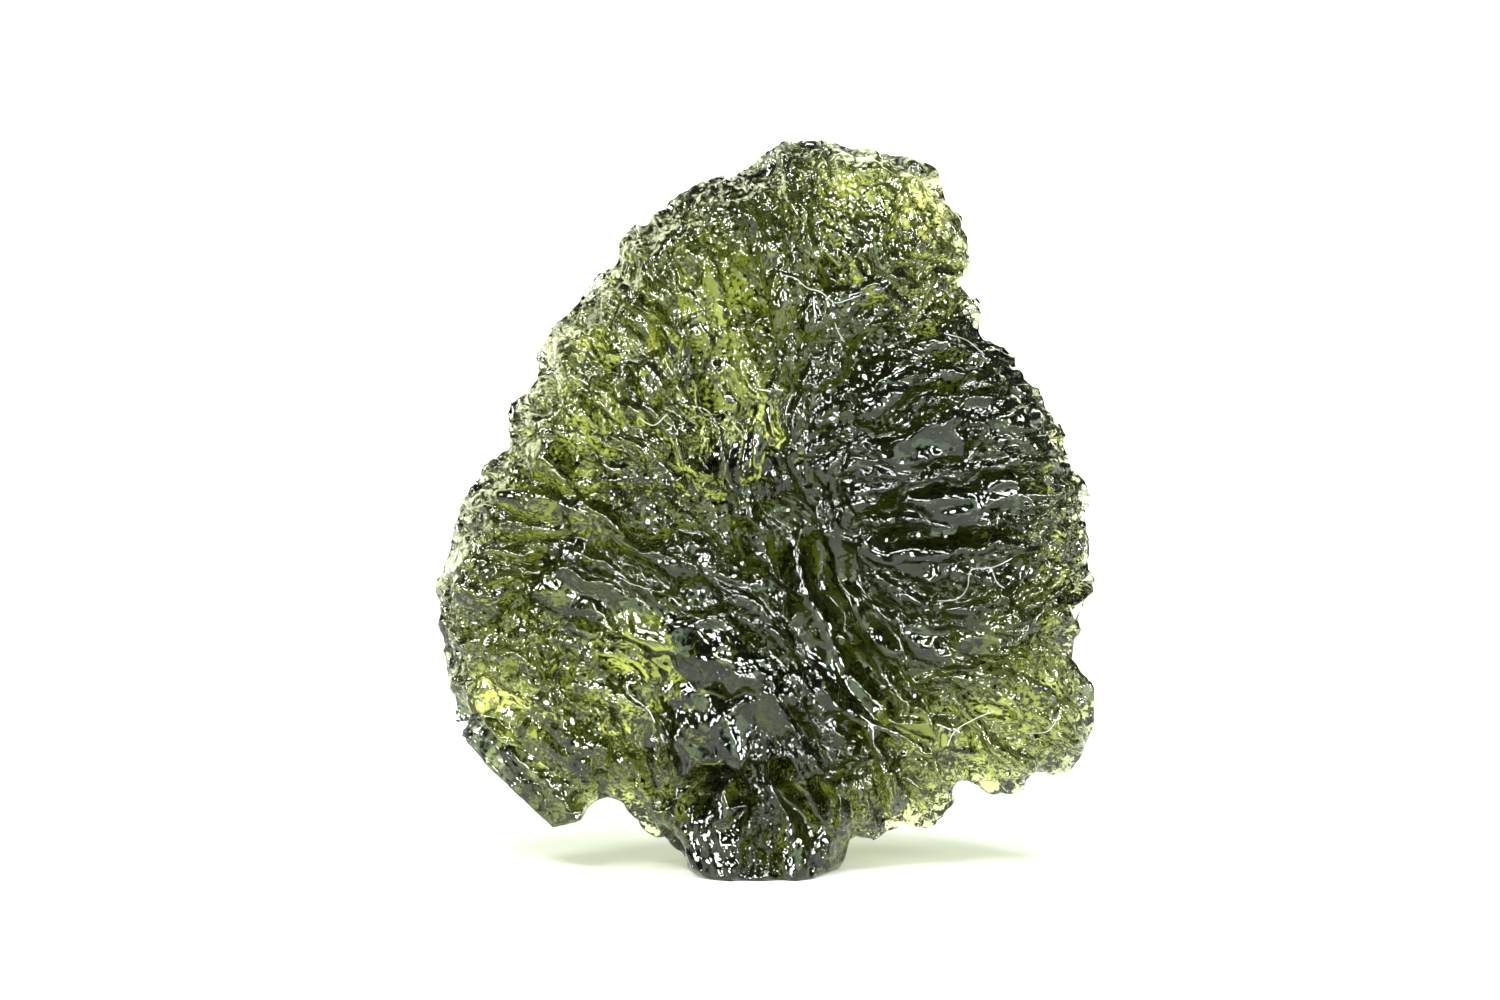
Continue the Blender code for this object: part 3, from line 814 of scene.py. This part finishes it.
class Skin:
    """What the sculpting needs to know of each point of the stone's skin."""

    def __init__(self, points, normals):
        surface = Surface(points, normals)
        flow, self.ridge_share, self.grain_share = skin_flow(points, normals)
        wander = wandering(points)
        self.x, self.z = wander[:, 0], wander[:, 2]
        self.front = smoothstep(*FRONT_FACING, normals[:, 1])
        self.back = smoothstep(*BACK_FACING, normals[:, 1])
        self.rim = smoothstep(*RIM_FACING, np.abs(normals[:, 1]))
        self.levelled, self.on_facet = flatten_facets(points, wander, self.front)
        self.calm = np.maximum(self.front * calm_share(self.x, self.z), FACET_CALM * self.on_facet)
        # Clearness: hollows the back, and lifts the painted shade on the skin.
        self.clear = clearness(self.x, self.z)
        self.thickness = thickness_at(points)
        self.slab, self.slab_gap = plates(surface, flow, wander, SLABS)
        self.plate, self.plate_gap = plates(surface, flow, wander, PLATES)
        self.ridge, self.ridge_gap = plates(surface, flow, wander, RIDGES)
        self.pitted = pits(surface, wander)
        self.groove = self.front * strokes(self.x, self.z, GROOVES)
        self.ridged, self.rough = self.ridged_and_rough()

    def ridged_and_rough(self):
        """How full of fine ridges and of pits the skin is. Both fill the low ground and spare the tops."""
        level = SLAB_SHARE_OF_LEVEL * self.slab + (1.0 - SLAB_SHARE_OF_LEVEL) * self.plate
        coarse = level + GRAIN_PULL * (GRAIN_MIDDLE - self.grain_share)
        rough = smoothstep(*PITTED_LEVELS, coarse) * (1.0 - PITS_LOST_WHERE_CALM * self.calm)
        ridged = smoothstep(*RIDGED_LEVELS, level) * self.ridge_share
        return ridged * (1.0 - RIDGES_LOST_WHERE_CALM * self.calm), rough


def relief(skin, shape):
    """Height of the skin over the smooth solid, in millimetres."""
    busy = (1.0 - SLABS_LOST_AT_RIM * skin.rim) * (1.0 - SLABS_LOST_WHERE_CALM * skin.calm)
    busy *= 1.0 - SLABS_LOST_ON_FACETS * skin.on_facet
    plated = PLATES_WITHOUT_RIDGES + (1.0 - PLATES_WITHOUT_RIDGES) * skin.ridge_share
    slabs = skin.slab - SLABS.groove_depth * skin.slab_gap
    long_plates = skin.plate - PLATES.groove_depth * skin.plate_gap
    ridges = skin.ridge - RIDGES.groove_depth * skin.ridge_gap
    height = shape.slab_relief * busy * slabs
    height += shape.plate_relief * busy * plated * long_plates
    height += shape.ridge_relief * (1.0 - RIDGES_LOST_AT_RIM * skin.rim) * skin.ridged * ridges
    height -= shape.pit_relief * (1.0 - PITS_LOST_AT_RIM * skin.rim) * skin.rough * skin.pitted
    height -= skin.groove
    height -= skin.front * holes(skin.x, skin.z, HOLES)
    height += skin.front * strokes(skin.x, skin.z, CRESTS)
    spare = skin.thickness - shape.clear_thickness
    height -= skin.back * (1.0 - skin.rim) * skin.clear * np.clip(spare, 0.0, shape.hollow)
    return height


def clearness_less_painted_shade(skin):
    """How clear the glass looks at each point, less its painted shade: grooves and the gaps between plates
    get painted shade, and the plates' levels vary it.
    """
    gaps = np.maximum(SLAB_GAP_PAINTED_SHADE * skin.slab_gap, PLATE_GAP_PAINTED_SHADE * skin.plate_gap)
    painted_groove_shade = np.maximum(smoothstep(*GROOVE_DEPTHS_PAINTED_SHADE, skin.groove), gaps)
    lumps = PLATE_LUMPS * skin.plate - (1.0 - skin.calm) * painted_groove_shade
    return np.clip(skin.clear**CLEAR_POWER * (1.0 + skin.front * lumps), 0.0, 1.0)


def faceted_share(skin):
    """How much the smallest facets show at each point: in the pits and along the plates' edges."""
    gaps = np.maximum(skin.slab_gap, skin.plate_gap)
    edges = np.maximum(gaps, skin.ridge_gap * skin.ridged) * (1.0 - EDGES_LOST_WHERE_CALM * skin.calm)
    return np.maximum(skin.rough, EDGE_FACETS * edges)


def sculpt(obj, shape):
    """Cuts the skin into the smooth stone, down to just above its foot."""
    mesh = obj.data
    points = points_of(mesh)
    normals = normals_of(mesh)
    skin = Skin(points, normals)
    above_foot = smoothstep(*FOOT_BLEND, points[:, 2])
    put_points(mesh, skin.levelled + (relief(skin, shape) * above_foot)[:, None] * normals)
    store(mesh, "rough", faceted_share(skin))
    # The clearness less its painted shade, which darkens the skin's colour.
    store(mesh, "clear", clearness_less_painted_shade(skin))


def thin_out(obj, triangles):
    """Merges the mesh's smallest triangles where the skin is flat, down to a number of triangles."""
    count = sum(len(p.vertices) - 2 for p in obj.data.polygons)
    if count > triangles:
        apply_modifier(obj, "DECIMATE", "thin_out", ratio=triangles / count)


def feed(links, value, socket):
    """Gives a socket what another socket puts out, or a fixed value."""
    if isinstance(value, bpy.types.NodeSocket):
        links.new(value, socket)
    else:
        socket.default_value = value


def mix_colours(nodes, links, factor, first, second):
    """A blend from the first colour, at factor 0, to the second, at 1. Each is a socket or a fixed colour."""
    mix = nodes.new("ShaderNodeMix")
    mix.data_type = "RGBA"
    first_colour, second_colour, mixed = mix.inputs[6], mix.inputs[7], mix.outputs[2]
    links.new(factor, mix.inputs["Factor"])
    feed(links, first, first_colour)
    feed(links, second, second_colour)
    return mixed


def vector_math(nodes, links, operation, first, second):
    """The result of an operation on two vectors. Each is a socket or a fixed vector."""
    node = nodes.new("ShaderNodeVectorMath")
    node.operation = operation
    feed(links, first, node.inputs[0])
    feed(links, second, node.inputs[1])
    return node.outputs["Value" if operation == "DOT_PRODUCT" else "Vector"]


def kept_number(nodes, name):
    """The number that the mesh keeps under a name, as store() left it."""
    attribute = nodes.new("ShaderNodeAttribute")
    attribute.attribute_name = name
    return attribute.outputs["Fac"]


def object_coordinates(nodes):
    return nodes.new("ShaderNodeTexCoord").outputs["Object"]


def skin_bump(nodes, links, glass):
    """The smallest facets, which the mesh is too coarse for: each cell is a flat that leans its own way."""
    coordinates = object_coordinates(nodes)
    cells = nodes.new("ShaderNodeTexVoronoi")
    cells.inputs["Scale"].default_value = 1.0 / glass.facet_size
    links.new(coordinates, cells.inputs["Vector"])
    lean = vector_math(nodes, links, "SUBTRACT", cells.outputs["Color"], (0.5, 0.5, 0.5))
    place = vector_math(nodes, links, "SUBTRACT", coordinates, cells.outputs["Position"])
    height = vector_math(nodes, links, "DOT_PRODUCT", lean, place)
    share = nodes.new("ShaderNodeMath")
    share.operation = "MULTIPLY"
    links.new(height, share.inputs[0])
    links.new(kept_number(nodes, "rough"), share.inputs[1])
    bump = nodes.new("ShaderNodeBump")
    bump.inputs["Strength"].default_value = 1.0
    bump.inputs["Distance"].default_value = glass.facet_lean
    links.new(share.outputs["Value"], bump.inputs["Height"])
    return bump.outputs["Normal"]


def glass_material(glass):
    material = bpy.data.materials.new(SLOT)
    material.use_nodes = True
    nodes = material.node_tree.nodes
    links = material.node_tree.links
    shader = nodes["Principled BSDF"]
    shader.inputs["Transmission Weight"].default_value = 1.0
    shader.inputs["IOR"].default_value = glass.ior
    shader.inputs["Roughness"].default_value = glass.roughness
    # The skin's colour: painted shade, from the painted-shade tint where the glass is shown dark to the clear
    # tint where it is clear.
    skin_colour_with_painted_shade = mix_colours(nodes, links, kept_number(nodes, "clear"), glass.painted_shade_tint, glass.clear_tint)
    links.new(skin_colour_with_painted_shade, shader.inputs["Base Color"])
    links.new(skin_bump(nodes, links, glass), shader.inputs["Normal"])
    absorption = nodes.new("ShaderNodeVolumeAbsorption")
    absorption.inputs["Color"].default_value = glass.absorption
    absorption.inputs["Density"].default_value = glass.density
    links.new(absorption.outputs["Volume"], nodes["Material Output"].inputs["Volume"])
    return material


def forget_marks(copy):
    """Takes the frame's own marks off a copy of one of its solids."""
    for key in [key for key in copy.keys() if key.startswith("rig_")]:
        del copy[key]


def copy_solid():
    """A copy of the plain solid with its corners joined, in millimetres."""
    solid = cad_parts[NODE]
    stone = solid.copy()
    stone.data = solid.data.copy()
    stone.parent = None
    stone.name = STONE
    forget_marks(stone)
    bpy.context.scene.collection.objects.link(stone)
    activate(stone)
    stone.data.transform(Matrix.Scale(PER_MM, 4))
    bpy.ops.object.mode_set(mode="EDIT")
    bpy.ops.mesh.select_all(action="SELECT")
    bpy.ops.mesh.remove_doubles(threshold=JOIN_DISTANCE)
    bpy.ops.object.mode_set(mode="OBJECT")
    return stone


class MOLDAVITE_OT_stone(bpy.types.Operator):
    """Sculpts the stone from the plain solid and gives it its glass"""

    bl_idname = "moldavite.stone"
    bl_label = "Stone"

    def execute(self, context):
        shape = context.scene.moldavite_shape
        deselect_all()
        stone = copy_solid()
        apply_modifier(stone, "REMESH", "voxels", mode="VOXEL", voxel_size=shape.voxel)
        apply_modifier(stone, "SMOOTH", "smooth", iterations=shape.smoothing, factor=0.5)
        sculpt(stone, shape)
        thin_out(stone, shape.triangles)
        stone.data.transform(Matrix.Scale(MM, 4))
        stone.data.materials.clear()
        stone.data.materials.append(glass_material(context.scene.moldavite_glass))
        stone.data.shade_smooth()
        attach(stone, BODY)
        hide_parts(NODE)
        return {"FINISHED"}


def smooth_path(path, step):
    """Places about a step apart along a smooth line through a path's points."""
    points = [path[0], *path, path[-1]]
    places = []
    for before, start, end, after in zip(points, points[1:], points[2:], points[3:]):
        count = max(1, round(math.dist(start, end) / step))
        for i in range(count):
            t = i / count
            place = [
                b + 0.5 * t * (c - a + t * (2 * a - 5 * b + 4 * c - d + t * (3 * b - a - 3 * c + d)))
                for a, b, c, d in zip(before, start, end, after)
            ]
            places.append(place)
    return places + [path[-1]]


def windows(values, reach):
    """Each value with its neighbours, as the rows of an array."""
    padded = np.pad(values, reach, mode="edge")
    return np.lib.stride_tricks.sliding_window_view(padded, 2 * reach + 1)


def lay_fibre(stone, path, radius):
    """A thin tube that follows a path over the stone's front and bridges its pits."""
    places = smooth_path(path, LINT_STEP)
    skin = []
    for x, z in places:
        start = Vector((x * MM, IN_FRONT, z * MM))
        met, place, _, _ = stone.ray_cast(start, Vector((0.0, 1.0, 0.0)))
        if not met:
            raise RuntimeError(f"a lint fibre misses the stone at {x:.1f}, {z:.1f} mm")
        skin.append(place.y)
    bridged = windows(np.array(skin), LINT_BRIDGE).min(axis=1)
    depths = windows(bridged, LINT_BRIDGE).mean(axis=1) - radius
    data = bpy.data.curves.new("fibre", "CURVE")
    data.dimensions = "3D"
    data.bevel_depth = radius
    data.bevel_resolution = 1
    data.use_fill_caps = True
    spline = data.splines.new("POLY")
    spline.points.add(len(places) - 1)
    for point, (x, z), y in zip(spline.points, places, depths):
        point.co = (x * MM, y, z * MM, 1.0)
    fibre = bpy.data.objects.new("fibre", data)
    bpy.context.scene.collection.objects.link(fibre)
    return fibre


def lint_material(lint):
    """Pale fibre, mottled along its length."""
    material = bpy.data.materials.new("lint")
    material.use_nodes = True
    nodes = material.node_tree.nodes
    links = material.node_tree.links
    mottles = nodes.new("ShaderNodeTexNoise")
    mottles.inputs["Scale"].default_value = LINT_MOTTLES_PER_METRE
    links.new(object_coordinates(nodes), mottles.inputs["Vector"])
    shader = nodes["Principled BSDF"]
    shader.inputs["Roughness"].default_value = LINT_ROUGHNESS
    colour = mix_colours(nodes, links, mottles.outputs["Fac"], lint.dull, lint.pale)
    links.new(colour, shader.inputs["Base Color"])
    return material


class MOLDAVITE_OT_lint(bpy.types.Operator):
    """Lays the stray lint fibres on the stone's front"""

    bl_idname = "moldavite.lint"
    bl_label = "Lint"

    def execute(self, context):
        settings = context.scene.moldavite_lint
        stone = bpy.data.objects[STONE]
        context.view_layer.update()
        fibres = [lay_fibre(stone, path, settings.radius) for path in LINT_PATHS]
        deselect_all()
        for fibre in fibres:
            fibre.select_set(True)
        context.view_layer.objects.active = fibres[0]
        bpy.ops.object.convert(target="MESH")
        bpy.ops.object.join()
        lint = context.view_layer.objects.active
        lint.name = "lint"
        lint.data.materials.clear()
        lint.data.materials.append(lint_material(settings))
        lint.data.shade_smooth()
        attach(lint, BODY)
        return {"FINISHED"}


def look_at(obj, place, target):
    obj.location = place
    obj.rotation_euler = (Vector(target) - Vector(place)).to_track_quat("-Z", "Y").to_euler()


def add_camera(studio):
    """A camera in front of the stone that frames it as the picture does."""
    data = bpy.data.cameras.new("camera")
    data.lens = studio.lens
    data.clip_start = 0.01
    camera = bpy.data.objects.new("camera", data)
    bpy.context.scene.collection.objects.link(camera)
    frame_width = PHOTO_WIDTH / PIXELS_PER_MM * MM
    distance = frame_width * studio.lens / data.sensor_width
    target_x = (PHOTO_WIDTH / 2 - FOOT_PIXEL[0]) / PIXELS_PER_MM * MM
    target_z = (FOOT_PIXEL[1] - PHOTO_HEIGHT / 2) / PIXELS_PER_MM * MM
    target = Vector((target_x, 0.0, target_z))
    place = target + distance * Vector((0.0, -math.cos(studio.elevation), math.sin(studio.elevation)))
    look_at(camera, place, target)
    bpy.context.scene.camera = camera


def add_lamp(name, direction):
    """A soft square lamp that lights the stone from a direction. Its power is pi * radiance * area."""
    data = bpy.data.lights.new(name, "AREA")
    data.shape = "SQUARE"
    data.size = LAMP_WIDTH
    data.energy = LAMP_RADIANCE * math.pi * LAMP_WIDTH * LAMP_WIDTH
    lamp = bpy.data.objects.new(name, data)
    bpy.context.scene.collection.objects.link(lamp)
    look_at(lamp, Vector(AIM) + LAMP_DISTANCE * Vector(direction).normalized(), AIM)
    lamp.visible_camera = False


def surroundings_colour(nodes, links):
    """The surroundings' colour, by how straight the way there leads to the front panel."""
    way = nodes.new("ShaderNodeTexCoord").outputs["Generated"]
    facing = vector_math(nodes, links, "DOT_PRODUCT", way, Vector(PANEL_DIRECTION).normalized())
    scale = nodes.new("ShaderNodeMapRange")
    scale.inputs["From Min"].default_value = -1.0
    scale.inputs["From Max"].default_value = 1.0
    links.new(facing, scale.inputs["Value"])
    ramp = nodes.new("ShaderNodeValToRGB")
    ramp.color_ramp.interpolation = "EASE"
    elements = ramp.color_ramp.elements
    elements[0].position, elements[1].position = SURROUNDINGS[0][0], SURROUNDINGS[-1][0]
    for position, _ in SURROUNDINGS[1:-1]:
        elements.new(position)
    for element, (_, colour) in zip(elements, SURROUNDINGS):
        element.color = (*colour, 1.0)
    links.new(scale.outputs["Result"], ramp.inputs["Fac"])
    return ramp.outputs["Color"]


def add_world():
    """Dark surroundings with a bright panel before and behind the stone. The camera sees plain white."""
    world = bpy.data.worlds.new("studio")
    bpy.context.scene.world = world
    world.use_nodes = True
    nodes = world.node_tree.nodes
    links = world.node_tree.links
    seen_by_camera = nodes.new("ShaderNodeLightPath").outputs["Is Camera Ray"]
    colour = mix_colours(nodes, links, seen_by_camera, surroundings_colour(nodes, links), PLAIN_WHITE)
    background = nodes["Background"]
    links.new(colour, background.inputs["Color"])
    background.inputs["Strength"].default_value = SURROUNDINGS_STRENGTH


def add_floor(size):
    bpy.ops.mesh.primitive_plane_add(size=size, location=(0.0, 0.0, 0.0))
    floor = bpy.context.active_object
    floor.name = "floor"
    material = bpy.data.materials.new("floor")
    material.use_nodes = True
    shader = material.node_tree.nodes["Principled BSDF"]
    shader.inputs["Base Color"].default_value = FLOOR_COLOUR
    shader.inputs["Roughness"].default_value = FLOOR_ROUGHNESS
    shader.inputs["Specular IOR Level"].default_value = FLOOR_GLOSS
    floor.data.materials.append(material)


class MOLDAVITE_OT_stage(bpy.types.Operator):
    """Lays the floor and sets up the lights and the camera"""

    bl_idname = "moldavite.stage"
    bl_label = "Stage"

    def execute(self, context):
        studio = context.scene.moldavite_studio
        deselect_all()
        add_floor(studio.floor_size)
        add_world()
        for i, direction in enumerate(LAMP_DIRECTIONS, start=1):
            add_lamp(f"lamp_{i}", direction)
        add_camera(studio)
        context.scene.view_settings.view_transform = "Standard"
        return {"FINISHED"}


class MOLDAVITE_PT_panel(bpy.types.Panel):
    """Lists the stone's steps"""

    bl_idname = "MOLDAVITE_PT_panel"
    bl_label = "Moldavite"
    bl_space_type = "VIEW_3D"
    bl_region_type = "UI"
    bl_category = "Moldavite"

    def draw(self, context):
        for operator in (MOLDAVITE_OT_stone, MOLDAVITE_OT_lint, MOLDAVITE_OT_stage):
            self.layout.operator(operator.bl_idname)


CLASSES = (
    MoldaviteShape,
    MoldaviteGlass,
    MoldaviteLint,
    MoldaviteStudio,
    MOLDAVITE_OT_stone,
    MOLDAVITE_OT_lint,
    MOLDAVITE_OT_stage,
    MOLDAVITE_PT_panel,
)


def register():
    for cls in CLASSES:
        bpy.utils.register_class(cls)
    bpy.types.Scene.moldavite_shape = PointerProperty(type=MoldaviteShape)
    bpy.types.Scene.moldavite_glass = PointerProperty(type=MoldaviteGlass)
    bpy.types.Scene.moldavite_lint = PointerProperty(type=MoldaviteLint)
    bpy.types.Scene.moldavite_studio = PointerProperty(type=MoldaviteStudio)


def unregister():
    del bpy.types.Scene.moldavite_studio
    del bpy.types.Scene.moldavite_lint
    del bpy.types.Scene.moldavite_glass
    del bpy.types.Scene.moldavite_shape
    for cls in reversed(CLASSES):
        bpy.utils.unregister_class(cls)


def main():
    register()
    bpy.ops.moldavite.stage()
    bpy.ops.moldavite.stone()
    bpy.ops.moldavite.lint()


if __name__ == "__main__":
    main()
